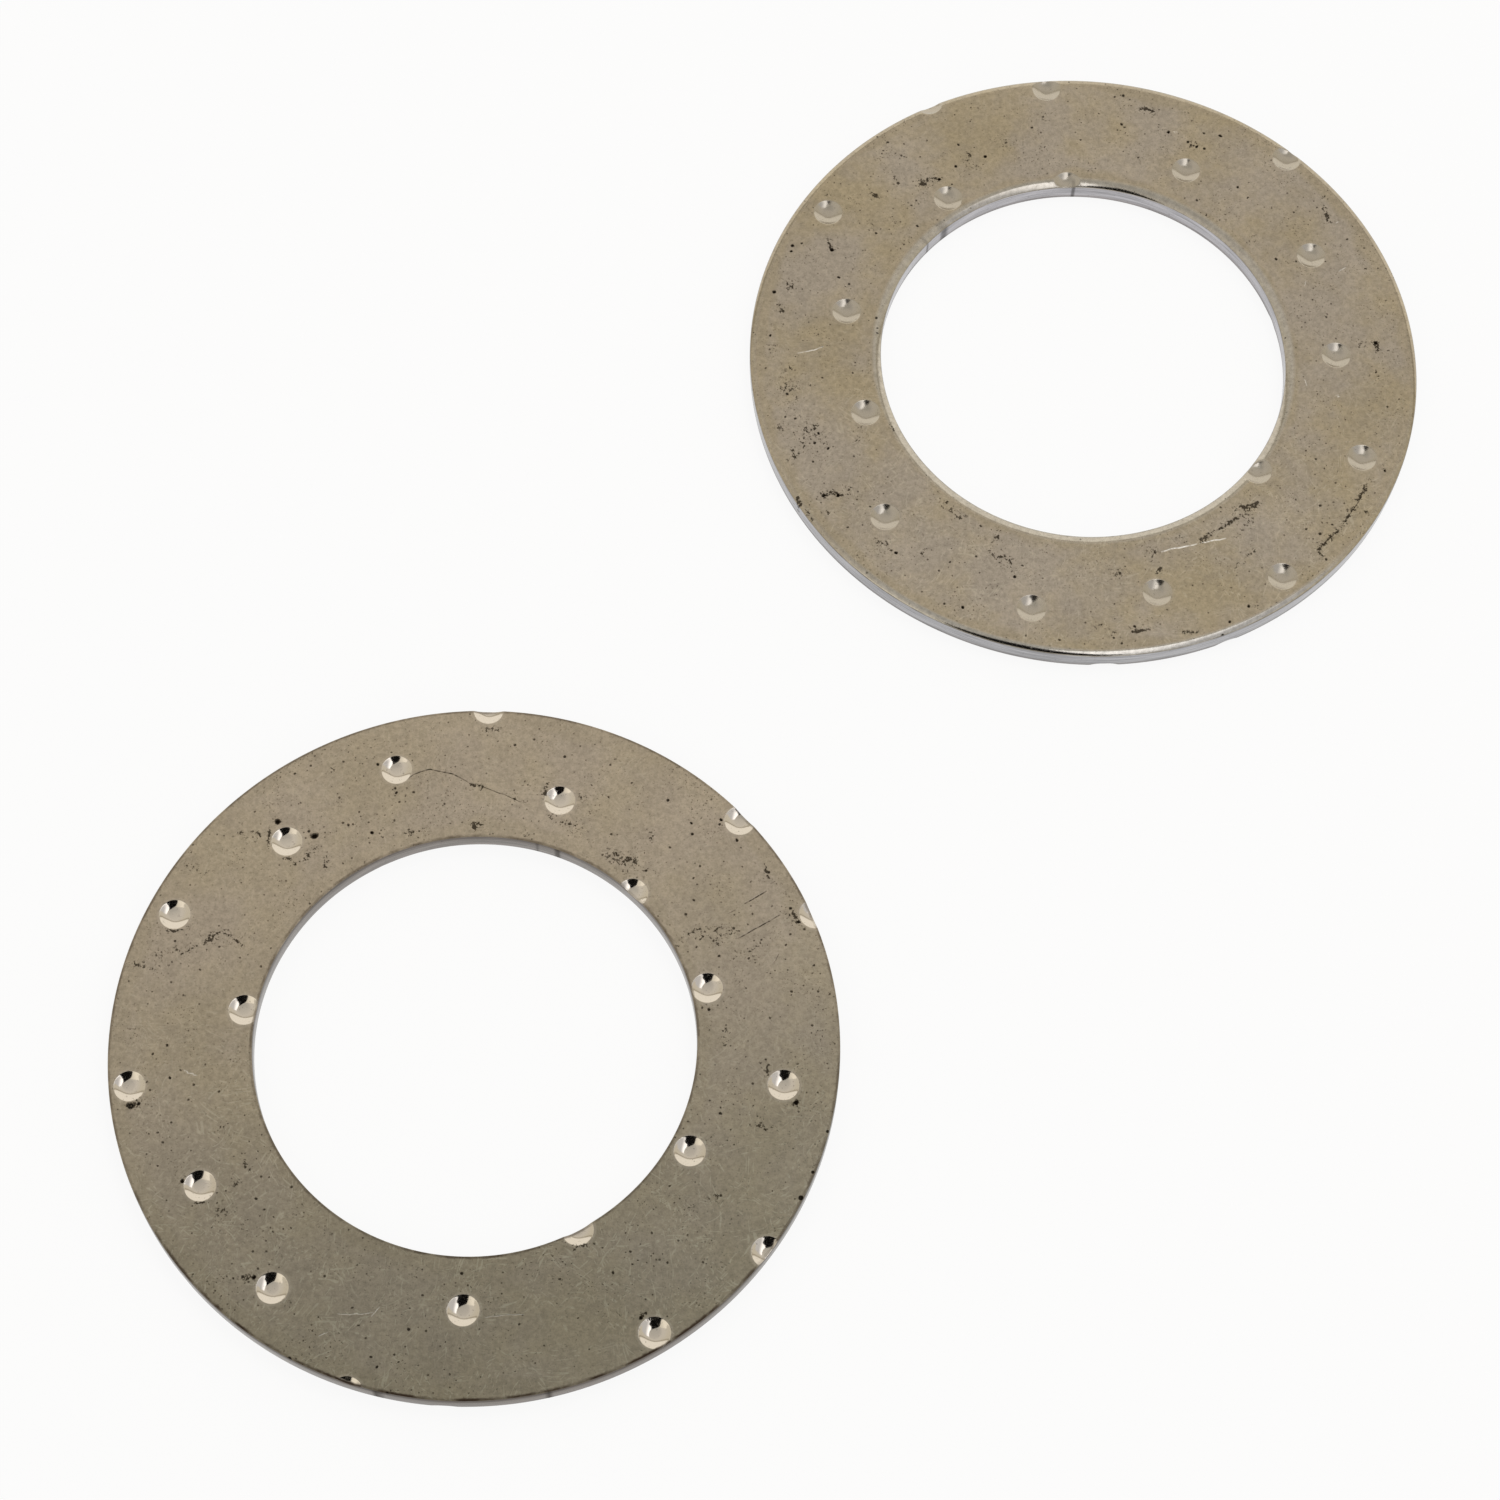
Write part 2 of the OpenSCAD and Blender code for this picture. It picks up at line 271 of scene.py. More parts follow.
# A spot of dirt has its place, its width and how dark it is.
LEFT_SPOTS = (
    (-15.1, 15.9, 0.8, 0.5), (-14.6, 16.5, 0.5, 0.5), (-8.4, 22.2, 0.35, 0.8), (1.9, 21.8, 0.3, 0.9),
    (-1.0, 19.4, 0.9, 0.45), (-5.6, 18.7, 0.3, 0.8), (3.0, 18.6, 0.6, 0.45), (7.4, 22.3, 0.4, 0.8),
    (5.1, 20.3, 0.4, 0.85), (16.3, 9.0, 0.4, 0.95), (20.6, 1.7, 0.5, 0.6), (20.6, 0.7, 0.5, 0.45),
    (26.4, -4.3, 0.7, 0.7), (20.3, -12.4, 0.9, 0.4), (18.4, -13.4, 0.6, 0.45), (14.9, -22.5, 0.7, 0.5),
    (-18.4, -12.7, 0.9, 0.4), (-27.2, -6.5, 0.8, 0.75), (-19.2, -15.4, 1.0, 0.4), (-22.6, -12.4, 0.5, 0.55),
    (-13.4, -22.5, 0.5, 0.5), (-16.7, -20.7, 0.8, 0.55), (-13.7, 23.8, 0.6, 0.5),
)
RIGHT_SPOTS = (
    (8.4, -18.0, 0.35, 0.6), (15.0, -19.3, 0.7, 0.6), (14.6, -19.3, 0.3, 0.8), (13.9, -20.4, 0.4, 0.45),
    (24.9, -14.8, 0.45, 0.6), (26.7, -10.4, 0.3, 0.9), (3.0, -21.9, 0.7, 0.65), (1.4, -27.0, 0.35, 0.8),
    (2.5, -27.8, 0.35, 0.75), (15.0, -24.5, 0.35, 0.6), (-22.5, -17.0, 0.4, 0.75), (-24.7, -8.8, 0.6, 1.0),
    (-23.9, -8.5, 0.55, 0.9), (-22.9, -10.0, 0.5, 0.9), (-27.0, -8.6, 0.55, 0.85), (-24.5, -9.2, 2.6, 0.33),
    (-26.2, -4.4, 2.4, 0.3), (-26.4, -2.3, 0.3, 0.7), (-24.5, -4.2, 0.45, 0.6), (-24.4, -13.8, 0.5, 0.6),
    (-20.1, -9.6, 0.3, 0.6), (-19.1, 16.3, 0.65, 1.0), (-14.7, 17.8, 0.75, 1.0), (-15.8, 15.4, 0.35, 0.6),
    (-19.4, 12.8, 0.35, 0.7), (-20.4, 10.0, 0.4, 0.5), (-23.4, 16.5, 0.8, 0.4), (-3.6, 25.6, 0.4, 0.6),
    (9.7, 26.6, 0.6, 0.45), (7.0, 24.7, 0.3, 0.7), (7.6, 22.7, 0.4, 0.55), (10.2, 23.2, 1.0, 0.5),
    (25.0, 2.3, 0.9, 0.4), (25.7, 10.4, 0.8, 0.4), (23.3, 12.7, 0.45, 0.5), (22.1, 17.9, 0.4, 0.5),
    (15.4, 13.0, 0.35, 0.5),
)
# A scratch has the points that it runs through, its width, and how dark or how bright it is.
LEFT_SCRATCHES = (
    (((-7.4, 23.1), (-6.8, 23.7), (-6.2, 24.0), (-5.5, 24.2), (-3.5, 23.9), (-2.0, 23.1)), 0.13, 0.9, 0.0),
    (((-2.0, 23.1), (-0.9, 22.8), (0.8, 22.2), (2.0, 21.7), (2.9, 21.4)), 0.1, 0.75, 0.0),
    (((20.3, 12.1), (21.0, 12.5)), 0.09, 0.6, 0.0),
    (((21.6, 13.0), (22.5, 13.6), (23.5, 14.3)), 0.14, 0.9, 0.0),
    (((23.7, 14.9), (24.3, 15.3)), 0.08, 0.5, 0.0),
    (((21.0, 9.8), (22.0, 10.4), (23.2, 11.2), (23.8, 11.6), (24.8, 12.3)), 0.13, 0.85, 0.0),
    (((24.8, 14.3), (25.4, 13.7)), 0.08, 0.5, 0.0),
    (((24.3, 7.9), (24.7, 8.8)), 0.1, 0.5, 0.0),
    (((12.7, -22.2), (13.2, -22.8)), 0.09, 0.6, 0.0),
    (((-23.6, -3.5), (-22.4, -4.0)), 0.12, 0.0, 0.6),
    (((-10.7, -25.2), (-9.9, -24.8)), 0.09, 0.0, 0.5),
    (((-9.4, -23.3), (-7.6, -23.3), (-6.4, -23.1)), 0.09, 0.0, 0.45),
    (((-6.7, -23.5), (-6.0, -22.6)), 0.09, 0.0, 0.45),
    (((2.3, -23.2), (3.9, -22.9), (5.5, -22.8)), 0.09, 0.0, 0.35),
)
RIGHT_SCRATCHES = (
    (((25.1, -12.0), (24.9, -12.4), (24.6, -12.9), (24.2, -13.9), (23.5, -15.0), (23.2, -15.5),
      (22.7, -16.3)), 0.09, 0.55, 0.0),
    (((22.5, -16.7), (21.7, -17.4), (21.0, -18.2), (20.5, -18.8)), 0.09, 0.5, 0.0),
    (((6.7, -19.6), (8.0, -19.2), (9.9, -18.7)), 0.14, 0.0, 0.95),
    (((10.1, -18.6), (12.5, -18.0)), 0.13, 0.0, 0.85),
    (((-25.7, -0.8), (-24.3, -0.5), (-23.3, 0.0)), 0.12, 0.0, 0.65),
    (((23.3, 10.0), (24.0, 10.5)), 0.12, 0.0, 0.5),
    (((23.1, 15.1), (23.5, 15.4)), 0.12, 0.0, 0.5),
    (((8.5, 24.6), (8.8, 24.4)), 0.14, 0.0, 0.7),
    (((19.8, -1.5), (20.1, -2.2)), 0.1, 0.0, 0.6),
    (((22.6, -3.0), (23.0, -3.1)), 0.16, 0.0, 0.7),
    (((20.3, 8.9), (20.1, 8.2)), 0.1, 0.0, 0.4),
)
# A tear in a wall has its side (1 for the rim, -1 for the bore), its angle in degrees and its width.
LEFT_TEARS = ((-1, 77.0, 0.2), (-1, 71.5, 0.5), (1, -101.0, 0.6), (1, -75.0, 0.5))
RIGHT_TEARS = ((-1, 134.0, 0.9), (-1, 141.0, 0.12), (-1, 92.5, 0.35))
# A chip in the upper edge has its place, its width and its depth.
LEFT_CHIPS = ((-12.8, -27.1, 0.34, 0.12), (27.1, -12.3, 0.45, 0.18), (28.0, -10.1, 0.3, 0.1),
              (29.1, -6.6, 0.28, 0.08), (-4.9, -29.6, 0.3, 0.1))
RIGHT_CHIPS = ((12.0, -27.5, 0.35, 0.08),)


def marks_of(pits, smears, spots, scratches, tears, chips):
    """One washer's marks by kind. A spot is a smear that runs nowhere."""
    smears = smears + tuple((spot,) for spot in spots)
    return {"pits": pits, "smears": smears, "scratches": scratches, "tears": tears, "chips": chips}


MARKS = {
    "left": marks_of(LEFT_PITS, LEFT_SMEARS, LEFT_SPOTS, LEFT_SCRATCHES, LEFT_TEARS, LEFT_CHIPS),
    "right": marks_of(RIGHT_PITS, RIGHT_SMEARS, RIGHT_SPOTS, RIGHT_SCRATCHES, RIGHT_TEARS, RIGHT_CHIPS),
}

# Colours that both washers' marks and worn parts have.
# the grime colour also paints shade along the sharp edges and the walls' corners
SPECK, PEPPER, GRIME_AND_SHADE, SOIL, RUST = "#3E3428", "#4C4132", "#3A2C22", "#332B20", "#1E1810"
# the oil-film colour is the tint of the painted shade on the near part
HAIRLINE, SCRATCH, SCUFFED, TORN, NEAR_SHADE_TINT = "#EFE7CF", "#FFFDF5", "#D0CBC0", "#D9D5D2", "#CFD4D3"


def directions(angles):
    """Unit vectors at these angles from the X axis."""
    return np.column_stack([np.cos(angles), np.sin(angles)])


def unit_circle(count):
    """Points equally spaced round a circle of radius 1, starting on the X axis."""
    return directions(np.arange(count) * 2 * np.pi / count)


def nearest(points, places):
    """Distance from each point to the nearest of the places."""
    return np.hypot(*(points[:, None] - places[None]).transpose(2, 0, 1)).min(axis=1)


def turn_between(angles, angle):
    """Size of the turn from each of the angles to this one, up to half a circle."""
    return np.abs((angles - angle + np.pi) % (2 * np.pi) - np.pi)


def unmarked(points):
    """These points with no extra depth, darkness or brightness."""
    return np.column_stack([points, np.zeros((len(points), 3))])


def insets(points):
    """Each edge's side, 1 for the rim and -1 for the bore, with the points' distances from it."""
    radius = np.hypot(*points.T)
    return (1, OUTER_RADIUS - radius), (-1, radius - BORE_RADIUS)


def smooth_max(a, b, width):
    """The larger of two heights, with the corner where they cross rounded over this width."""
    return (a + b + np.sqrt((a - b) ** 2 + width ** 2)) / 2


def lattice(washer, strip, upper):
    """Centres of one face's dimples. Rows and columns are square to each other and turned by the row angle.
    Columns keep one pitch but for the seam. The lower face's dimples lie half a pitch off the upper ones."""
    count = np.arange(-5, 6)
    seam = washer.seam - (0 if upper else strip.column_pitch / 2)
    row = washer.row - (0 if upper else washer.row_pitch / 2)
    past = seam + strip.seam_pitch / 2 + (count - 1) * strip.column_pitch
    before = seam - strip.seam_pitch / 2 + count * strip.column_pitch
    along, across = np.meshgrid(np.where(count > 0, past, before), row + count * washer.row_pitch)
    cos, sin = math.cos(washer.angle), math.sin(washer.angle)
    centres = np.column_stack([(along * cos - across * sin).ravel(), (along * sin + across * cos).ravel()])
    radius = np.hypot(*centres.T)
    half = strip.dimple_diameter / 2
    return centres[(radius > BORE_RADIUS - half) & (radius < OUTER_RADIUS + half)]


def dimple_drop(points, centres, strip):
    """Depth below the face made by the nearest dimple, over the plane.
    It is a sphere through the dimple's edge and floor circles, cut off at the floor and rounded at both.
    Outside, a lip falls away to the face as a Gaussian."""
    edge, floor = strip.dimple_diameter / 2, strip.dimple_floor / 2
    ball_z = (edge ** 2 - floor ** 2 - strip.dimple_depth ** 2) / (2 * strip.dimple_depth)
    ball = math.hypot(edge, ball_z)
    far = nearest(points, centres)
    sphere = np.sqrt(ball ** 2 - np.minimum(far, edge) ** 2) - ball_z
    beyond = (far - edge) * edge / ball_z
    bowl = np.where(far < edge, sphere, -beyond)
    bowl = -smooth_max(-bowl, -strip.dimple_depth, strip.floor_edge)
    lip = strip.lip_height * (1 - np.exp(-(np.maximum(far - edge, 0) / strip.lip_width) ** 2))
    return smooth_max(lip, bowl, strip.dimple_edge)


def edge_profile(side, rounded, strip):
    """Width, slope at the corner, and corner width of an edge. Side is 1 for the rim and -1 for the bore."""
    if rounded:
        return (strip.rim_band if side > 0 else strip.bore_band), strip.band_slope, strip.band_corner
    return strip.edge_width, strip.edge_slope, strip.edge_corner


def loop_inset(side, rounded, strip):
    """Distance from an edge's circle to the loop where its wall ends: its corner, and a torn wall's lean."""
    return edge_profile(side, rounded, strip)[2] + (0 if rounded else strip.fracture_taper)


def edge_drop(points, rounded, strip):
    """Depth below the face where an edge is rolled or worn: an arc that leaves the face smoothly.
    Its width wavers a little round the ring, as a sum of two sines."""
    radius, turn = np.hypot(*points.T), np.arctan2(points[:, 1], points[:, 0])
    waver = 1 + 0.06 * np.sin(3 * turn + 2 * radius / BORE_RADIUS) + 0.03 * np.sin(11 * turn)
    depth = np.zeros(len(points))
    for side, inset in insets(points):
        width, slope, _ = edge_profile(side, rounded, strip)
        width = width * waver
        arc = width / math.sin(slope)
        depth = np.maximum(depth, arc - np.sqrt(arc ** 2 - np.clip(width - inset, 0, width) ** 2))
    return depth


def chip_drop(points, chips):
    """Depth of the chips in an edge: each is a paraboloid, deepest at its centre."""
    depth = np.full(len(points), -1.0)
    for x, y, width, deep in chips:
        far = np.hypot(points[:, 0] - x * MM, points[:, 1] - y * MM)
        depth = np.maximum(depth, deep * MM * (1 - (2 * far / (width * MM)) ** 2))
    return depth


def face_drop(points, face, strip):
    """Depth of a face below its plane: the deepest of its edges, dimples and chips, blended at crossings."""
    dimples = dimple_drop(points, face["centres"], strip)
    drop = smooth_max(dimples, edge_drop(points, face["rounded"], strip), strip.dimple_edge / 2)
    return np.maximum(np.maximum(drop, chip_drop(points, face["chips"])), 0)


def edge_angles(radius, faces, strip):
    """Angles at which an edge is sampled: even steps, and finer ones where it cuts a dimple or a chip."""
    fine, coarse = 1440, 3
    angle = np.arange(fine) * 2 * np.pi / fine
    keep = np.arange(fine) % coarse == 0
    for face in faces:
        cuts = [(x, y, strip.dimple_diameter * 0.6) for x, y in face["centres"]]
        cuts += [(x * MM, y * MM, width * MM * 0.7) for x, y, width, _ in face["chips"]]
        for x, y, reach in cuts:
            if abs(math.hypot(x, y) - radius) < reach:
                keep |= turn_between(angle, math.atan2(y, x)) * radius < reach
    return angle[keep]


def edge_wall(side, upper, lower, strip):
    """The wall of the rim (side 1) or the bore (side -1): a profile carried round the ring on a grid.
    The profile turns an upper corner along an arc, runs down the wall and turns the lower corner.
    The wall falls back a little over its torn part, which ends at the sharp edge."""
    radius = OUTER_RADIUS if side > 0 else BORE_RADIUS
    angles = edge_angles(radius, (upper, lower), strip)
    direction = directions(angles)
    parts = []
    for face in (upper, lower):
        width, slope, corner = edge_profile(side, face["rounded"], strip)
        start = math.asin((width - corner) / (width / math.sin(slope)))
        turn = np.linspace(start, math.pi / 2, 5)
        arc = corner / (1 - math.sin(start))
        inset = arc * (1 - np.sin(turn))
        fall = arc * (math.cos(start) - np.cos(turn))
        drop = face_drop((radius - side * corner) * direction, face, strip)[None] + fall[:, None]
        height = THICKNESS - drop if face is upper else drop
        parts.append((np.repeat(inset[:, None], len(angles), axis=1), height))
    share = np.linspace(0, 1, 8)[1:-1, None]
    middle = parts[0][1][-1] * (1 - share) + parts[1][1][-1] * share
    inset = np.concatenate([parts[0][0], np.zeros_like(middle), parts[1][0][::-1]])
    height = np.concatenate([parts[0][1], middle, parts[1][1][::-1]])
    from_sharp = height if upper["rounded"] else THICKNESS - height
    inset = inset + strip.fracture_taper * np.clip(1 - from_sharp / strip.fracture_height, 0, 1) ** 0.7
    points = (radius - side * inset)[..., None] * direction[None]
    return np.concatenate([points, height[..., None]], axis=-1)


def band_points(side, face, faces, strip):
    """Points of a rolled or worn edge: circles at fixed insets, with the angles of the edge's wall."""
    radius = OUTER_RADIUS if side > 0 else BORE_RADIUS
    angles = edge_angles(radius, faces, strip)
    start = loop_inset(side, face["rounded"], strip)
    width = edge_profile(side, face["rounded"], strip)[0]
    inset = start + (width * 1.1 - start) * np.linspace(0, 1, 9 if face["rounded"] else 4)[1:]
    direction = directions(angles)
    return unmarked(((radius - side * inset)[:, None, None] * direction[None]).reshape(-1, 2))


def ring_points(centres, strip):
    """Points of the dimples: rings of fixed radii round each centre, close at its edge and floor."""
    edge, floor = strip.dimple_diameter / 2, strip.dimple_floor / 2
    inner = np.array([0.35, 0.7, 0.93, 1.07]) * floor
    bowl = np.linspace(floor * 1.35, edge * 0.94, 5)
    rim = edge + np.array([-0.03, -0.01, 0.01, 0.035, 0.08, 0.16, 0.28, 0.5]) * MM
    rings = [np.zeros((1, 2)), unit_circle(9) * inner[0], unit_circle(18) * inner[1]]
    rings += [unit_circle(36) * radius for radius in (*inner[2:], *bowl, *rim)]
    offsets = np.concatenate(rings)
    return unmarked((centres[:, None, :] + offsets[None]).reshape(-1, 2))


def pit_points(pits, rng):
    """Points of the pits: a centre, two rings inside, one at the edge and one that keeps the face flat.
    A pit is stretched, turned and dented at random, because real ones are torn and not round."""
    pits = np.asarray(pits, float).reshape(-1, 3) * MM
    sizes, sides = (0.5, 0.86, 1.04, 1.4), 8
    ring = np.concatenate([np.zeros((1, 2)), *(unit_circle(sides) * size for size in sizes)])
    turn = rng.uniform(0, np.pi, len(pits))
    stretch = rng.uniform(0.65, 1.0, len(pits))
    dents = np.tile(rng.uniform(0.85, 1.15, (len(pits), sides)), len(sizes))
    local = ring[None] * (np.column_stack([np.ones(len(pits)), dents]) * pits[:, 2:3] / 2)[..., None]
    local[..., 1] *= stretch[:, None]
    cos, sin = np.cos(turn)[:, None], np.sin(turn)[:, None]
    x = pits[:, 0:1] + local[..., 0] * cos - local[..., 1] * sin
    y = pits[:, 1:2] + local[..., 0] * sin + local[..., 1] * cos
    count = (1, sides, sides, sides, sides)
    drop = 0.22 * pits[:, 2:3] * np.repeat((1.0, 0.9, 0.55, 0.0, 0.0), count)
    shade = np.clip(pits[:, 2:3] / (0.36 * MM), 0.6, 1.0) * np.repeat((1.0, 1.0, 0.7, 0.0, 0.0), count)
    return np.stack([x, y, drop, shade, np.zeros_like(x)], axis=-1).reshape(-1, 5)


def smear_strength(points, smears):
    """How dark the smears are at each point. Across its path a smear fades as a Gaussian."""
    dirt = np.zeros(len(points))
    for path in smears:
        path = np.array(path)
        for start, end in zip(path, path[1:] if len(path) > 1 else path):
            along = (end - start)[:2] * MM
            share = (points - start[:2] * MM) @ along / max(along @ along, 1e-12)
            here = start + np.clip(share, 0, 1)[:, None] * (end - start)
            far = np.hypot(*(points - here[:, :2] * MM).T)
            dirt = np.maximum(dirt, here[:, 3] * np.exp(-(2 * far / (here[:, 2] * MM)) ** 2))
    return dirt


def smear_points(smears):
    """Points of a staggered grid wherever a smear is, fine enough to carry its darkness."""
    step = 0.16 * MM
    reach = math.ceil(OUTER_RADIUS / step)
    row, column = np.mgrid[-reach:reach + 1, -reach:reach + 1]
    points = np.column_stack([(column + row % 2 / 2).ravel(), row.ravel()]) * step
    radius = np.hypot(*points.T)
    points = points[(radius > BORE_RADIUS) & (radius < OUTER_RADIUS)]
    return unmarked(points[smear_strength(points, smears) > 0.05])


def scratch_points(scratches, rng):
    """Points of the scratches: a groove of three lines between flat lines, carried along each path.
    Its darkness or brightness comes and goes along the path."""
    groups = []
    for path, width, dark, light in scratches:
        path = np.array(path) * MM
        run = np.concatenate([[0], np.cumsum(np.hypot(*np.diff(path, axis=0).T))])
        step = np.linspace(0, run[-1], int(run[-1] / (0.12 * MM)) + 2)
        line = np.column_stack([np.interp(step, run, path[:, k]) for k in (0, 1)])
        line += np.interp(step, np.linspace(0, run[-1], 9), rng.normal(0, 0.04 * MM, 9))[:, None]
        along = np.gradient(line, axis=0)
        side = np.column_stack([-along[:, 1], along[:, 0]]) / np.hypot(*along.T)[:, None]
        across = np.array([-0.85, -0.5, -0.3, 0, 0.3, 0.5, 0.85]) * width * MM
        level = np.array([0, 0, 0.7, 1, 0.7, 0, 0])
        strength = np.clip(rng.uniform(0.35, 1.3, len(step)), 0, 1) * np.sin(np.pi * (step / run[-1])) ** 0.3
        points = line[:, None, :] + across[None, :, None] * side[:, None, :]
        depth = strength[:, None] * level[None] * 0.15 * width * MM
        shade = strength[:, None] * np.where(level > 0, 1.0, 0.0)[None]
        group = np.concatenate([points, np.stack([depth, shade * dark, shade * light], axis=-1)], axis=-1)
        groups.append(group.reshape(-1, 5))
    return np.concatenate(groups) if groups else np.zeros((0, 5))


def clear_of(points, others, gap):
    """The points that lie at least a gap away from all others."""
    if not len(others):
        return points
    parts = np.array_split(points[:, :2], max(1, len(points) // 400))
    return points[np.concatenate([nearest(part, others[:, :2]) for part in parts]) > gap]


def small_pits(count, rng):
    """Places and widths, in millimetres, of the small pits: half lie anywhere, half in loose clusters."""
    clusters = 14
    clustered = np.arange(count) % 2 == 1
    radius = np.sqrt(rng.uniform(BORE_RADIUS ** 2, OUTER_RADIUS ** 2, count))
    angle = rng.uniform(0, 2 * np.pi, count)
    home = rng.integers(0, clusters, count)
    angle = np.where(clustered, angle[home] + rng.normal(0, 0.09, count), angle)
    radius = np.where(clustered, radius[home] + rng.normal(0, 2.2 * MM, count), radius)
    width = np.clip(rng.lognormal(math.log(0.16), 0.3, count), 0.12, 0.32)
    return np.column_stack([radius * np.cos(angle) / MM, radius * np.sin(angle) / MM, width])


def plain_points(spacing):
    """Points of the plain face: rings one spacing apart, staggered, with the same spacing along them."""
    rings = []
    for index, radius in enumerate(np.arange(BORE_RADIUS + spacing / 2, OUTER_RADIUS, spacing)):
        count = int(2 * np.pi * radius / spacing)
        turn = (index % 2) * np.pi / count
        cos, sin = math.cos(turn), math.sin(turn)
        rings.append(unit_circle(count) @ np.array([[cos, sin], [-sin, cos]]) * radius)
    return unmarked(np.concatenate(rings))


def apart(pits, share):
    """The pits that stay at least this share of both pits' widths away from every earlier one."""
    kept = []
    for pit in pits:
        x, y, width = pit
        if all((x - a) ** 2 + (y - b) ** 2 > (share * (width + wide)) ** 2 for a, b, wide in kept):
            kept.append(pit)
    return np.array(kept).reshape(-1, 3)


def away_from_edges(pits, face, strip):
    """The pits that lie in the flat of a face, clear of its edges and dimples."""
    margin = 0.1 * MM
    far = nearest(pits[:, :2] * MM, face["centres"])
    radius = np.hypot(*pits[:, :2].T) * MM
    inset = np.minimum(OUTER_RADIUS - radius, radius - BORE_RADIUS)
    return pits[(far > strip.dimple_diameter / 2 + margin) & (inset > pits[:, 2] * 0.7 * MM + margin)]


def chip_points(chips):
    """Points of the chips: rings out to just past each chip's edge."""
    ring = np.concatenate([unit_circle(16) * size for size in (0.15, 0.3, 0.42, 0.5, 0.56)])
    rings = [ring * width * MM + np.array([x, y]) * MM for x, y, width, _ in chips]
    return unmarked(np.concatenate([np.zeros((0, 2)), *rings]))


def face_points(face, faces, washer, strip, rng):
    """Every point of a face inside its edges: x, y, extra depth, darkness and brightness.
    Each kind of point comes with the gap, in millimetres, that it keeps to the kinds before it."""
    loop_gap, plain_step, pit_gap = 0.015 * MM, 0.9 * MM, 0.62
    pits = np.concatenate([np.asarray(face["pits"]).reshape(-1, 3),
                           small_pits(washer.pits if face is faces[0] else washer.pits // 2, rng)])
    pits = apart(away_from_edges(pits, face, strip), pit_gap)
    points = scratch_points(face["scratches"], rng)
    kinds = (
        (pit_points(pits, rng), 0.05),
        (ring_points(face["centres"], strip), 0.06),
        (chip_points(face["chips"]), 0.0),
        (np.concatenate([band_points(side, face, faces, strip) for side in (1, -1)]), 0.045),
        (smear_points(face["smears"]), 0.07),
        (plain_points(plain_step), 0.35),
    )
    for kind, gap in kinds:
        points = np.concatenate([points, clear_of(kind, points, gap * MM)])
    inside = [inset > loop_inset(side, face["rounded"], strip) + loop_gap
              for side, inset in insets(points[:, :2])]
    return points[np.all(inside, axis=0)]


def twice_area(corners):
    """Twice the area of each triangle, negative where it turns clockwise."""
    a, b = corners[:, 1] - corners[:, 0], corners[:, 2] - corners[:, 0]
    return a[:, 0] * b[:, 1] - a[:, 1] * b[:, 0]


def triangulate(rim, bore, points):
    """Triangles over the plane between a rim circle and a bore circle, through all points inside.
    Indices count the rim circle first, then the bore circle, then the points. All turn anticlockwise.
    A triangle between three points of one circle is dropped where it lies outside the face: taken in the
    order of the circle, it turns clockwise outside the rim and anticlockwise in the hole."""
    flat = np.concatenate([rim, bore, points]) / MM
    loops = [(start + i, start + (i + 1) % size) for start, size in ((0, len(rim)), (len(rim), len(bore)))
             for i in range(size)]
    whole_hull, merge_below = 0, 1e-5
    _, _, faces, origins, _, _ = delaunay_2d_cdt([Vector(place) for place in flat.tolist()], loops, [],
                                                 whole_hull, merge_below)
    source = np.array([origin[0] for origin in origins])
    triangles = source[np.array(faces)]
    area = twice_area(flat[triangles])
    triangles[area < 0] = triangles[area < 0][:, ::-1]
    turn = twice_area(flat[np.sort(triangles, axis=1)])
    on_rim = (triangles < len(rim)).all(axis=1)
    on_bore = ((triangles >= len(rim)) & (triangles < len(rim) + len(bore))).all(axis=1)
    outside = (on_rim & (turn < 0)) | (on_bore & (turn > 0))
    return triangles[~outside & (np.abs(area) > 1e-9)]


def grid_quads(rows, columns, start, outward):
    """Quads of a grid that closes on itself along its columns."""
    row, column = np.meshgrid(np.arange(rows - 1), np.arange(columns), indexing="ij")
    after = (column + 1) % columns
    quads = np.stack([row * columns + column, (row + 1) * columns + column,
                      (row + 1) * columns + after, row * columns + after], axis=-1).reshape(-1, 4)
    return start + (quads if outward else quads[:, ::-1])


def fade(value, low, high):
    """Rises smoothly from 0 at low to 1 at high."""
    share = np.clip((value - low) / (high - low), 0, 1)
    return share * share * (3 - 2 * share)


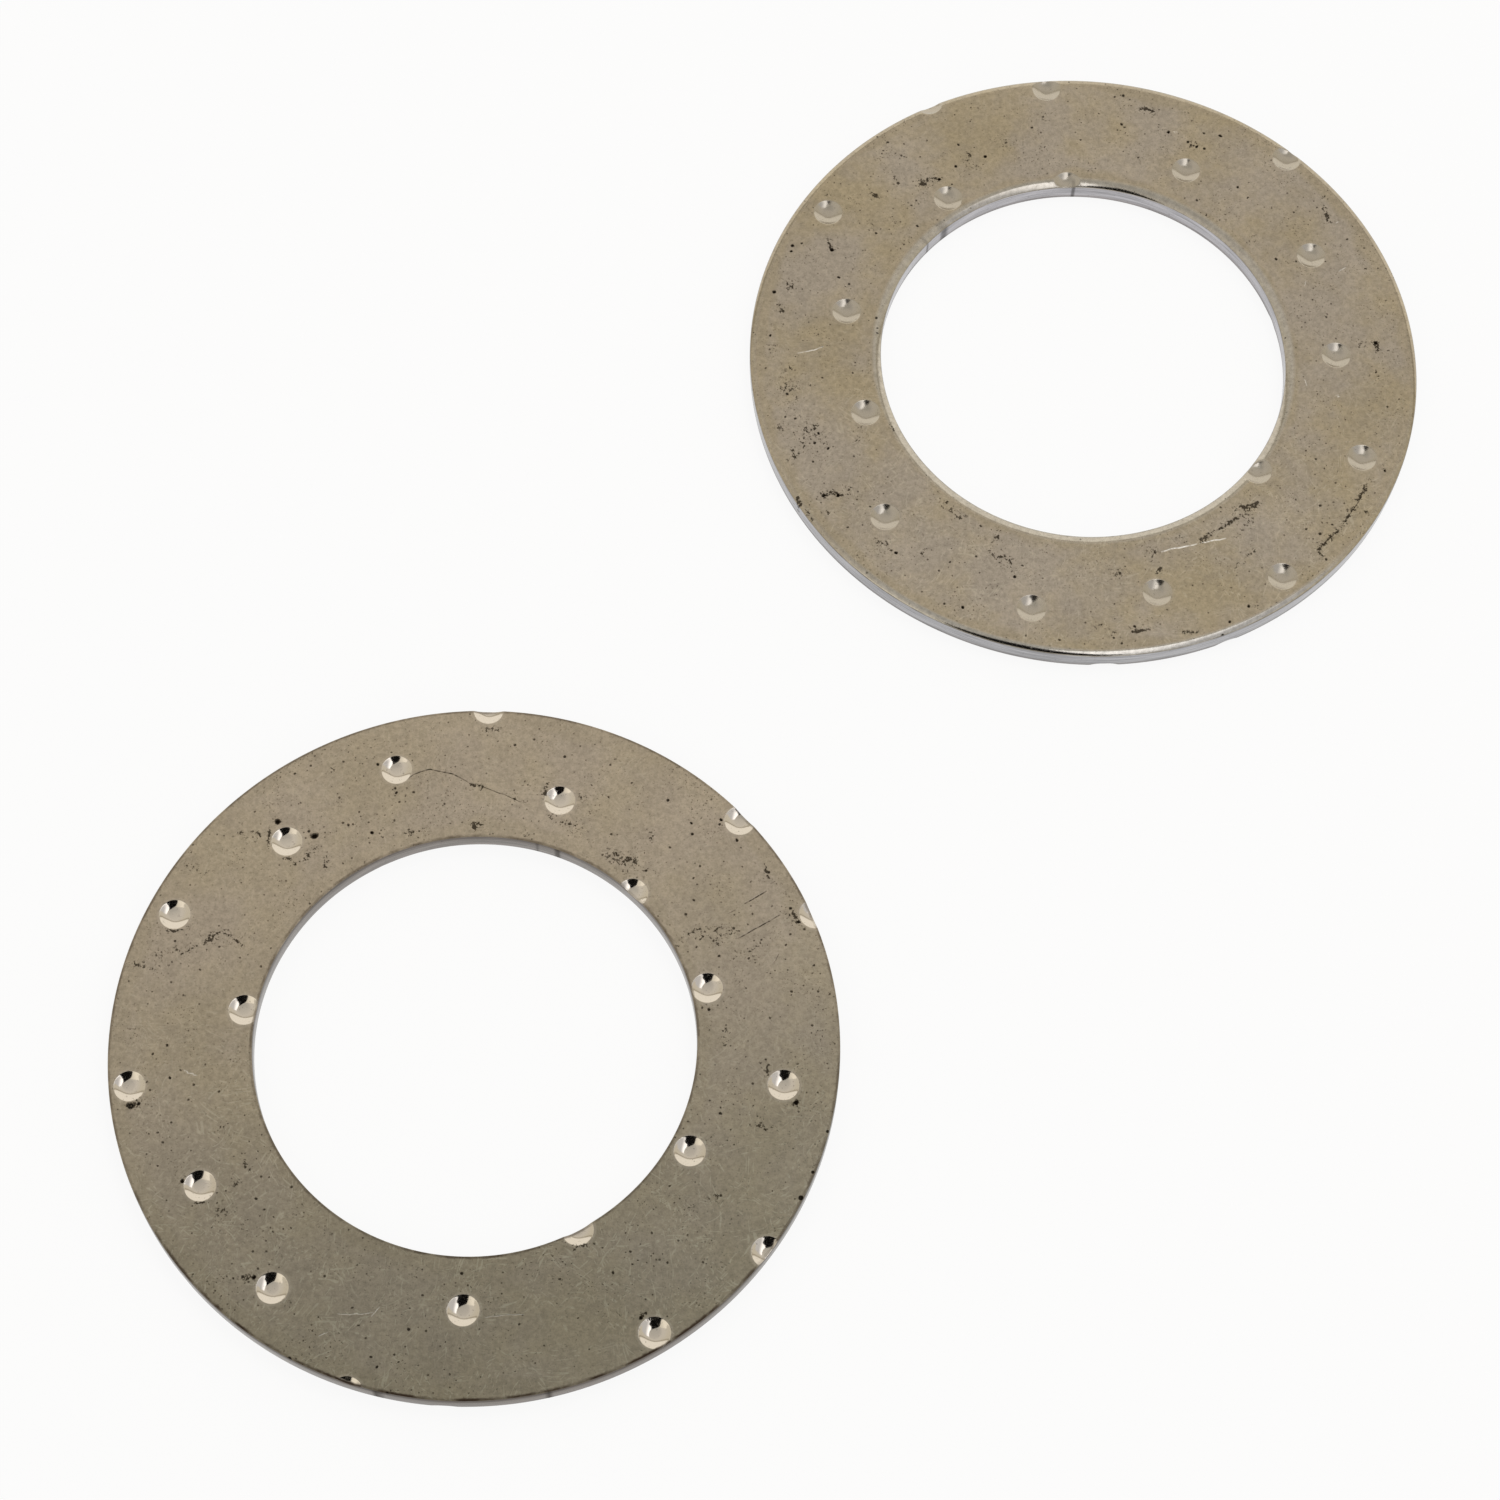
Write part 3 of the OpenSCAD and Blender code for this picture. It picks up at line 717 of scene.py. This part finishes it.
def washer_mesh(name, washer, strip, centre, upper_marks):
    """One washer as a closed surface: two edge strips and the two faces between them."""
    rng = np.random.default_rng(washer.seed)
    upper = {"rounded": washer.rounded_up, "centres": lattice(washer, strip, True), **upper_marks}
    lower = {"rounded": not washer.rounded_up, "centres": lattice(washer, strip, False),
             **dict.fromkeys(upper_marks, ())}
    grids = [edge_wall(1, upper, lower, strip), edge_wall(-1, upper, lower, strip)]
    vertices, polygons, walls, names = [], [], [], []
    total = 0
    for grid, outward in zip(grids, (True, False)):
        rows, columns = grid.shape[:2]
        polygons += grid_quads(rows, columns, total, outward).tolist()
        names.append(total + np.arange(rows * columns).reshape(rows, columns))
        vertices.append(grid.reshape(-1, 3))
        row = np.arange(rows)
        walls.append(np.repeat(np.clip(np.minimum(row, rows - 1 - row) / 4, 0, 1), columns))
        total += rows * columns
    marks = [np.zeros((total, 2))]
    for face, row in ((upper, 0), (lower, -1)):
        points = face_points(face, (upper, lower), washer, strip, rng)
        drop = face_drop(points[:, :2], face, strip) + points[:, 2]
        height = THICKNESS - drop if face is upper else drop
        loops = [names[0][row], names[1][row]]
        found = triangulate(grids[0][row, :, :2], grids[1][row, :, :2], points[:, :2])
        index = np.concatenate([*loops, total + np.arange(len(points))])
        polygons += index[found if face is upper else found[:, ::-1]].tolist()
        vertices.append(np.column_stack([points[:, :2], height]))
        walls.append(np.zeros(len(points)))
        marks.append(points[:, 3:])
        total += len(points)
    vertices, walls, marks = np.concatenate(vertices), np.concatenate(walls), np.concatenate(marks)
    values = surface_masks(vertices, walls, upper, lower, strip)
    values["dark"] = np.maximum(marks[:, 0], values["dark"])
    values["light"] = marks[:, 1]
    values["soil"] = smear_strength(vertices[:, :2], upper["smears"]) * (vertices[:, 2] > THICKNESS / 2)
    mesh = bpy.data.meshes.new(name)
    mesh.from_pydata((vertices + np.array([centre[0], centre[1], 0])).tolist(), [], polygons)
    for label, value in values.items():
        mesh.attributes.new(label, "FLOAT", "POINT").data.foreach_set("value", value.astype(np.float32))
    mesh.shade_smooth()
    mesh.set_sharp_from_angle(angle=math.radians(50))
    mesh.validate()
    return mesh


def surface_masks(vertices, walls, upper, lower, strip):
    """Where the surface is a dimple, wall, torn wall, rolled edge or chip, from 0 to 1 at each vertex."""
    place, height = vertices[:, :2], vertices[:, 2]
    radius = np.hypot(*place.T)
    values = {label: np.zeros(len(vertices)) for label in ("cup", "roll", "grime_and_shade", "dark")}
    for face, here in ((upper, height > THICKNESS / 2), (lower, height <= THICKNESS / 2)):
        points = place[here]
        far = nearest(points, face["centres"])
        edge = strip.dimple_diameter / 2
        lip = 0.15 * (1 - fade(far, edge + 0.1 * MM, edge + 0.3 * MM))
        bowl = 1 - fade(far, edge - 0.02 * MM, edge + 0.03 * MM)
        values["cup"][here] = np.maximum(lip, bowl) * (walls[here] < 1)
        for side, inset in insets(points):
            width = edge_profile(side, face["rounded"], strip)[0]
            if face["rounded"]:
                band = 1 - fade(inset, width * 0.6, width * 1.05)
                values["roll"][here] = np.maximum(values["roll"][here], band)
            else:
                # a dark line along each sharp edge: partly grime, partly painted shade of the edge's
                # rounding
                line = 1 - fade(inset, width * 1.2, width * 3)
                values["grime_and_shade"][here] = np.maximum(values["grime_and_shade"][here], line * (1 - walls[here]))
        # painted shade: a dark line along the middle of each wall's corner arc, darker at sharp edges
        corner = (0.55 if face["rounded"] else 0.8) * 4 * walls[here] * (1 - walls[here])
        values["grime_and_shade"][here] = np.maximum(values["grime_and_shade"][here], corner)
        chipped = fade(chip_drop(points, face["chips"]), -0.02 * MM, 0.03 * MM)
        values["dark"][here] = 0.9 * chipped * (1 - walls[here])
    values["wall"] = walls
    middle = (OUTER_RADIUS + BORE_RADIUS) / 2
    for side, angle, width in upper["tears"]:
        turn = turn_between(np.arctan2(place[:, 1], place[:, 0]), math.radians(angle))
        near = (1 - fade(turn * radius, width * 0.2 * MM, width * 0.7 * MM)) * (side * (radius - middle) > 0)
        values["dark"] = np.maximum(values["dark"], 0.55 * near * np.maximum(walls, 0.5 * values["roll"]))
    from_sharp = height if upper["rounded"] else THICKNESS - height
    values["torn"] = walls * (1 - fade(from_sharp, strip.fracture_height * 0.6, strip.fracture_height))
    return values


def add_node(tree, kind, links=None, **settings):
    """Adds a node. Settings are its properties; links gives each input a value or another node's output."""
    node = tree.nodes.new(kind)
    for key, value in settings.items():
        setattr(node, key, value)
    for key, value in (links or {}).items():
        if isinstance(value, bpy.types.NodeSocket):
            tree.links.new(value, node.inputs[key])
        else:
            node.inputs[key].default_value = value
    return node


def per_mm(size):
    """Scale of a noise or cell texture on metres, for features of this size in millimetres."""
    return 1 / (size * MM)


def stamped_steel(name, washer, centre):
    """Cold-rolled carbon steel strip, dimpled, punched and tumbled.
    The faces are satin with a straw film; dimples and walls are burnished bright by the tools. Painted shade
    darkens the near part and the near washer's walls and lines the edges and corners; a painted highlight
    brightens the near rim."""
    material = bpy.data.materials.new(name)
    material.use_nodes = True
    tree = material.node_tree
    shader = tree.nodes["Principled BSDF"]
    place = add_node(tree, "ShaderNodeTexCoord").outputs["Object"]
    local = add_node(tree, "ShaderNodeMapping", {"Vector": place, "Location": (-centre[0], -centre[1], 0)})
    local = local.outputs["Vector"]
    cup, roll, grime_and_shade, wall, torn, soil, dark, light = [
        add_node(tree, "ShaderNodeAttribute", attribute_name=label).outputs["Fac"]
        for label in ("cup", "roll", "grime_and_shade", "wall", "torn", "soil", "dark", "light")]

    def noise(size, detail, vector=local, roughness=0.55):
        return add_node(tree, "ShaderNodeTexNoise", {
            "Vector": vector, "Scale": per_mm(size), "Detail": detail,
            "Roughness": roughness}).outputs["Fac"]

    def ramp(value, low, high, to_low=0.0, to_high=1.0):
        return add_node(tree, "ShaderNodeMapRange", {
            "Value": value, "From Min": low, "From Max": high, "To Min": to_low, "To Max": to_high},
            interpolation_type="SMOOTHSTEP").outputs["Result"]

    def blend(factor, a, b, how="MIX"):
        return add_node(tree, "ShaderNodeMix", {0: factor, 6: a, 7: b}, data_type="RGBA",
                        blend_type=how).outputs[2]

    def tint(colour, by):
        return blend(1.0, colour, by, "MULTIPLY")

    def between(factor, a, b):
        return add_node(tree, "ShaderNodeMix", {0: factor, 2: a, 3: b}, data_type="FLOAT").outputs[0]

    def math_node(how, a, b):
        return add_node(tree, "ShaderNodeMath", {0: a, 1: b}, operation=how).outputs[0]

    def product(value, *others):
        for other in others:
            value = math_node("MULTIPLY", value, other)
        return value

    def vector_node(how, a, b=(0, 0, 0), output="Vector"):
        return add_node(tree, "ShaderNodeVectorMath", {0: a, 1: b}, operation=how).outputs[output]

    # straw film: soft blotches about 9 mm across, and a band of it along both edges
    radius = vector_node("LENGTH", vector_node("MULTIPLY", local, (1, 1, 0)), output="Value")
    rim_gap = math_node("SUBTRACT", OUTER_RADIUS, radius)
    gap = math_node("MINIMUM", rim_gap, math_node("SUBTRACT", radius, BORE_RADIUS))
    wobble = product(noise(4.0, 2), 3 * MM)
    near_edge = ramp(math_node("SUBTRACT", gap, wobble), -0.6 * MM, 0.6 * MM, 0.6, 0.0)
    blotch = ramp(noise(9.0, 4, roughness=0.6), 0.38, 0.68, 0.0, 0.9)
    colour = blend(math_node("MAXIMUM", near_edge, blotch), washer.steel, washer.stain)
    colour = tint(colour, ramp(noise(4.5, 3), 0.35, 0.65, 0.95, 1.04))
    # mottling left by tumbling, about a third of a millimetre across
    colour = tint(colour, ramp(noise(0.36, 5, roughness=0.75), 0.3, 0.7, 0.82, 1.13))
    # specks of scale in the rolled surface, in some of the cells 0.6 mm wide
    cells = add_node(tree, "ShaderNodeTexVoronoi", {"Vector": local, "Scale": per_mm(0.6)})
    chosen = add_node(tree, "ShaderNodeSeparateColor", {"Color": cells.outputs["Color"]}).outputs["Red"]
    speck = product(ramp(cells.outputs["Distance"], 0.06, 0.18, 1.0, 0.0),
                    ramp(chosen, 0.62, 0.95, 0.0, 0.85))
    colour = blend(speck, colour, linear(SPECK))
    # hairlines: fine scratches in four directions, a noise 0.14 mm across and long along each, bent a little
    bend = add_node(tree, "ShaderNodeTexNoise", {"Vector": local, "Scale": per_mm(6.0), "Detail": 1.0})
    bend = vector_node("MULTIPLY", bend.outputs["Color"], (4 * MM, 4 * MM, 4 * MM))
    bent = vector_node("ADD", local, bend)
    hair = 0.0
    for turn, length in ((8, 14), (52, 10), (97, 16), (141, 9)):
        along = add_node(tree, "ShaderNodeMapping", {
            "Vector": bent, "Rotation": (0, 0, math.radians(turn)), "Scale": (length, 1, 1)},
            vector_type="TEXTURE").outputs["Vector"]
        lines = product(ramp(noise(0.14, 0, along), 0.66, 0.74), ramp(noise(1.8, 1, along), 0.45, 0.6))
        hair = math_node("MAXIMUM", hair, lines)
    depth = add_node(tree, "ShaderNodeSeparateXYZ", {"Vector": local}).outputs["Y"]
    hair = product(hair, ramp(depth, -16 * MM, 8 * MM, washer.hairlines, washer.hairlines * 0.3))
    colour = blend(hair, colour, linear(HAIRLINE))
    # peppering: dark grains in loose clouds
    pepper = product(ramp(noise(0.2, 2, roughness=0.5), 0.62, 0.7),
                     ramp(noise(3.2, 2), 0.48, 0.64, 0.15, 0.8))
    colour = blend(pepper, colour, linear(PEPPER))
    # painted shade: the near part is darkened, most towards the right, standing in for the dark reflection
    # that side shows
    oil = vector_node("DOT_PRODUCT", local, (-0.25, 1, 0), "Value")
    oil = ramp(math_node("ADD", oil, product(noise(7.0, 2), 8 * MM)), -22 * MM, 22 * MM, washer.oil, 0.0)
    colour = blend(oil, colour, linear(NEAR_SHADE_TINT), "MULTIPLY")
    # tool-burnished steel on rolled edges and in dimples, brightest at the bore; on the rim the near part is
    # made brightest as a painted highlight
    rim_share = ramp(radius, 22 * MM, 26 * MM)
    burnish_and_highlight = between(rim_share, 0.65, ramp(depth, -27 * MM, -16 * MM, 0.85, 0.15))
    scuffed = tint(linear(SCUFFED), ramp(noise(0.45, 4, roughness=0.7), 0.35, 0.65, 0.78, 1.05))
    colour = blend(product(roll, burnish_and_highlight), colour, scuffed)
    colour = blend(product(cup, 0.9), colour, washer.cup)
    # walls streaked from face to face by the punch
    streaks = noise(0.12, 3, vector_node("MULTIPLY", local, (0.03, 0.03, 1)))
    # on the near washer the wall colours carry painted shade of the shadowed floor the walls reflect
    wall_steel = tint(blend(rim_share, washer.bore_wall, washer.wall), ramp(streaks, 0.3, 0.7, 0.68, 1.16))
    wall_steel = blend(torn, wall_steel, linear(TORN), "MULTIPLY")
    colour = blend(wall, colour, wall_steel)
    # a dark line along the sharp edges, about 0.25 mm wide, that breaks up, most of it on the near side:
    # partly grime, partly painted shade of the edges' rounding; the walls' corners carry painted shade too
    ragged = math_node("ADD", gap, product(noise(0.5, 3), 0.3 * MM))
    grime_and_shade = product(grime_and_shade, ramp(ragged, 0.32 * MM, 0.48 * MM, 1.0, 0.0),
                    ramp(noise(2.4, 3), 0.36, 0.56, 0.3, 0.95), ramp(depth, -26 * MM, -12 * MM, 1.0, 0.55))
    colour = blend(grime_and_shade, colour, linear(GRIME_AND_SHADE))
    # smears of dirt, ragged because only the spots of a noise that the smear reaches are dirty
    spots = ramp(noise(0.26, 3, roughness=0.7), 0.3, 0.7)
    soil = ramp(math_node("ADD", spots, soil), 0.88, 1.18, 0.0, 0.88)
    colour = blend(soil, colour, linear(SOIL))
    # marks cut into the face: rust-black pits and bright scratches
    colour = blend(dark, colour, linear(RUST))
    colour = blend(light, colour, linear(SCRATCH))
    tree.links.new(colour, shader.inputs["Base Color"])

    rough = ramp(noise(1.6, 4), 0.3, 0.7, 0.36, 0.44)
    for mask, value in ((roll, 0.13), (cup, washer.polish), (grime_and_shade, 0.5), (wall, 0.22), (torn, 0.4),
                        (soil, 0.6), (dark, 0.75), (light, 0.4)):
        rough = between(mask, rough, value)
    tree.links.new(rough, shader.inputs["Roughness"])

    # grain of the satin faces, waves on the rolled edges and the walls' streaks, up to 4 micrometres high
    shiny = math_node("MAXIMUM", wall, math_node("MAXIMUM", product(cup, 0.9), roll))
    grain = product(noise(0.3, 3), math_node("SUBTRACT", 1.0, shiny))
    grain = math_node("ADD", grain, product(noise(0.8, 2), roll, 1.5))
    grain = math_node("ADD", grain, product(streaks, wall, 0.5))
    bump = add_node(tree, "ShaderNodeBump", {"Height": grain, "Strength": 1.0, "Distance": 0.004 * MM})
    tree.links.new(bump.outputs["Normal"], shader.inputs["Normal"])
    shader.inputs["Metallic"].default_value = 1.0
    return material


def build_washer(node, washer, strip):
    """Makes a washer round its bore's axis, dresses it and puts it in the place of its CAD node."""
    side = node.split("_")[0]
    centre = MOUNTS[f"{side}_bore"]["pos_m"]
    mesh = washer_mesh(f"{side}_thrust_washer", washer, strip, centre, MARKS[side])
    piece = bpy.data.objects.new(f"{side}_thrust_washer", mesh)
    bpy.context.scene.collection.objects.link(piece)
    mesh.materials.append(stamped_steel(f"{side} washer, punched steel strip", washer, centre))
    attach(piece, "root")
    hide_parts(node)


class WASHERS_OT_left(bpy.types.Operator):
    """Build the near washer, sharp edges up"""

    bl_idname = "washers.build_left"
    bl_label = "Left washer"

    def execute(self, context):
        build_washer("left_washer", context.scene.washer_left, context.scene.washer_strip)
        return {"FINISHED"}


class WASHERS_OT_right(bpy.types.Operator):
    """Build the far washer, rounded edges up"""

    bl_idname = "washers.build_right"
    bl_label = "Right washer"

    def execute(self, context):
        build_washer("right_washer", context.scene.washer_right, context.scene.washer_strip)
        return {"FINISHED"}


def stage_panel(name, corners, height):
    """A flat panel of the stage, from corners in millimetres. Returns it with its material's empty tree."""
    mesh = bpy.data.meshes.new(name)
    mesh.from_pydata([(x * MM, y * MM, height * MM) for x, y in corners], [], [list(range(len(corners)))])
    panel = bpy.data.objects.new(name, mesh)
    bpy.context.scene.collection.objects.link(panel)
    material = bpy.data.materials.new(name)
    material.use_nodes = True
    material.node_tree.nodes.clear()
    mesh.materials.append(material)
    return panel, material.node_tree


def flat_card(name, corners, height, colour, near, far, reach=(0.0, 1.0)):
    """A flat panel of the light tent, seen only in reflections: it lights nothing and casts no shadow.
    Its glow changes along X from the near strength to the far one, between the two places of reach."""
    card, tree = stage_panel(name, corners, height)
    place = add_node(tree, "ShaderNodeTexCoord").outputs["Object"]
    across = add_node(tree, "ShaderNodeSeparateXYZ", {"Vector": place}).outputs["X"]
    level = add_node(tree, "ShaderNodeMapRange", {
        "Value": across, "From Min": reach[0] * MM, "From Max": reach[1] * MM,
        "To Min": near, "To Max": far}, interpolation_type="SMOOTHSTEP").outputs["Result"]
    glow = add_node(tree, "ShaderNodeEmission", {"Color": linear(colour), "Strength": level})
    add_node(tree, "ShaderNodeOutputMaterial", {"Surface": glow.outputs[0]})
    card.visible_camera = card.visible_diffuse = card.visible_shadow = False


class WASHERS_OT_studio(bpy.types.Operator):
    """Set up the floor, the light tent, the lamp and the camera"""

    bl_idname = "washers.build_studio"
    bl_label = "Studio"

    def execute(self, context):
        studio = context.scene.washer_studio
        place_camera(context.scene, studio)
        lay_floor(studio)
        hang_tent()
        light_world(context.scene)
        hang_lamp(context.scene)
        context.scene.view_settings.view_transform = "Standard"
        return {"FINISHED"}


def place_camera(scene, studio):
    """Puts the camera at its distance from the aim point, looking down at its elevation."""
    back = Vector((0, -math.cos(studio.elevation), math.sin(studio.elevation)))
    level = Vector((1, 0, 0))
    up = back.cross(level)
    across = level * math.cos(studio.roll) + up * math.sin(studio.roll)
    upright = back.cross(across)
    camera = bpy.data.objects.new("camera", bpy.data.cameras.new("camera"))
    scene.collection.objects.link(camera)
    turn = Matrix((across, upright, back)).transposed().to_4x4()
    aim = Vector((studio.aim_x, studio.aim_y, 0))
    camera.matrix_world = Matrix.Translation(aim + back * studio.distance) @ turn
    camera.data.lens = studio.focal_length
    camera.data.sensor_width = 36
    camera.data.clip_start = 0.01
    scene.camera = camera


def lay_floor(studio):
    """White paper that is seen as white, also in reflections, and still takes the washers' shadow."""
    half = 1500
    floor, tree = stage_panel("floor", ((-half, -half), (half, -half), (half, half), (-half, half)), 0)
    rays = add_node(tree, "ShaderNodeLightPath").outputs
    seen = rays["Is Camera Ray"]
    for how, other in (("MAXIMUM", rays["Is Glossy Ray"]), ("MAXIMUM", rays["Is Transmission Ray"]),
                       ("MULTIPLY", 0.9)):
        seen = add_node(tree, "ShaderNodeMath", {0: seen, 1: other}, operation=how).outputs[0]
    paper = add_node(tree, "ShaderNodeBsdfDiffuse", {"Color": studio.floor})
    glow = add_node(tree, "ShaderNodeEmission", {"Color": (1, 1, 1, 1), "Strength": 1.0})
    mix = add_node(tree, "ShaderNodeMixShader", {0: seen, 1: paper.outputs[0], 2: glow.outputs[0]})
    add_node(tree, "ShaderNodeOutputMaterial", {"Surface": mix.outputs[0]})


def hang_tent():
    """The cloth of the light tent: its dark slit round the camera and the bright cloth beside it."""
    height = 250
    slit = ((14, -22), (-94, -122), (-130, -210), (-170, -330), (80, -330), (106, -165), (46, -98))
    flat_card("tent slit", slit, height, "#050506", 1.0, 1.0)
    right = ((30, -40), (44, 5), (62, 60), (160, 60), (300, 0), (300, -330), *slit[4:])
    flat_card("tent cloth right", right, height + 1, "#F4F5FC", 1.8, 0.72, (60, 170))
    left = ((-78, -100), (-100, -210), (-150, -330), (-330, -330), (-300, -90))
    flat_card("tent cloth left", left, height + 1, "#FFFAF0", 1.05, 0.8, (-250, -90))


def light_world(scene):
    """The rest of the tent: a pale world and the paper's sweep behind the washers. The camera sees white."""
    world = scene.world or bpy.data.worlds.new("studio")
    scene.world = world
    world.use_nodes = True
    tree = world.node_tree
    tree.nodes.clear()
    way = add_node(tree, "ShaderNodeTexCoord").outputs["Generated"]
    height = add_node(tree, "ShaderNodeSeparateXYZ", {"Vector": way}).outputs["Z"]
    tent = add_node(tree, "ShaderNodeValToRGB", {"Fac": height})
    stops = tent.color_ramp.elements
    stops[0].position, stops[0].color = 0.0, (0.66, 0.62, 0.55, 1)
    stops[1].position, stops[1].color = 1.0, (0.50, 0.49, 0.475, 1)
    for position, colour in ((0.5, (0.68, 0.64, 0.56, 1)), (0.74, (0.69, 0.66, 0.61, 1)),
                             (0.88, (0.70, 0.67, 0.635, 1))):
        stops.new(position).color = colour
    # the paper sweeps up behind the washers: it is bright there and has a dim hem
    back = add_node(tree, "ShaderNodeVectorMath", {0: way, 1: (0.1, 1.0, -0.4)}, operation="DOT_PRODUCT")
    colour = tent.outputs["Color"]
    for low, high, strength, shade in ((0.27, 0.36, 0.75, "#80755C"), (0.35, 0.44, 1.0, "#FFFBF5")):
        share = add_node(tree, "ShaderNodeMapRange", {
            "Value": back.outputs["Value"], "From Min": low, "From Max": high,
            "To Max": strength}).outputs[0]
        colour = add_node(tree, "ShaderNodeMix", {0: share, 6: colour, 7: linear(shade)},
                          data_type="RGBA").outputs[2]
    inside = add_node(tree, "ShaderNodeBackground", {"Color": colour, "Strength": 1.0})
    white = add_node(tree, "ShaderNodeBackground", {"Color": (1, 1, 1, 1), "Strength": 1.0})
    seen = add_node(tree, "ShaderNodeLightPath").outputs["Is Camera Ray"]
    mix = add_node(tree, "ShaderNodeMixShader", {0: seen, 1: inside.outputs[0], 2: white.outputs[0]})
    add_node(tree, "ShaderNodeOutputWorld", {"Surface": mix.outputs[0]})


def hang_lamp(scene):
    """A soft lamp behind the tent's right side, aimed at the origin."""
    lamp = bpy.data.lights.new("soft lamp", "AREA")
    lamp.shape = "DISK"
    lamp.size = 0.5
    lamp.energy = 1.5
    piece = bpy.data.objects.new("soft lamp", lamp)
    scene.collection.objects.link(piece)
    piece.location = (0.25, 0.3, 0.9)
    piece.rotation_euler = (-piece.location).to_track_quat("-Z", "Y").to_euler()
    piece.visible_camera = piece.visible_glossy = False


class WASHERS_PT_panel(bpy.types.Panel):
    """Lists the washers and the studio"""

    bl_idname = "WASHERS_PT_panel"
    bl_label = "Thrust washers"
    bl_space_type = "VIEW_3D"
    bl_region_type = "UI"
    bl_category = "Thrust washers"

    def draw(self, context):
        for operator in (WASHERS_OT_left, WASHERS_OT_right, WASHERS_OT_studio):
            self.layout.operator(operator.bl_idname)


CLASSES = (StripSettings, LeftWasherSettings, RightWasherSettings, StudioSettings,
           WASHERS_OT_left, WASHERS_OT_right, WASHERS_OT_studio, WASHERS_PT_panel)
GROUPS = {"washer_strip": StripSettings, "washer_left": LeftWasherSettings,
          "washer_right": RightWasherSettings, "washer_studio": StudioSettings}


def register():
    for item in CLASSES:
        bpy.utils.register_class(item)
    for name, group in GROUPS.items():
        setattr(bpy.types.Scene, name, PointerProperty(type=group))


def unregister():
    for name in GROUPS:
        delattr(bpy.types.Scene, name)
    for item in reversed(CLASSES):
        bpy.utils.unregister_class(item)


def main():
    register()
    bpy.ops.washers.build_studio()
    bpy.ops.washers.build_left()
    bpy.ops.washers.build_right()


if __name__ == "__main__":
    main()
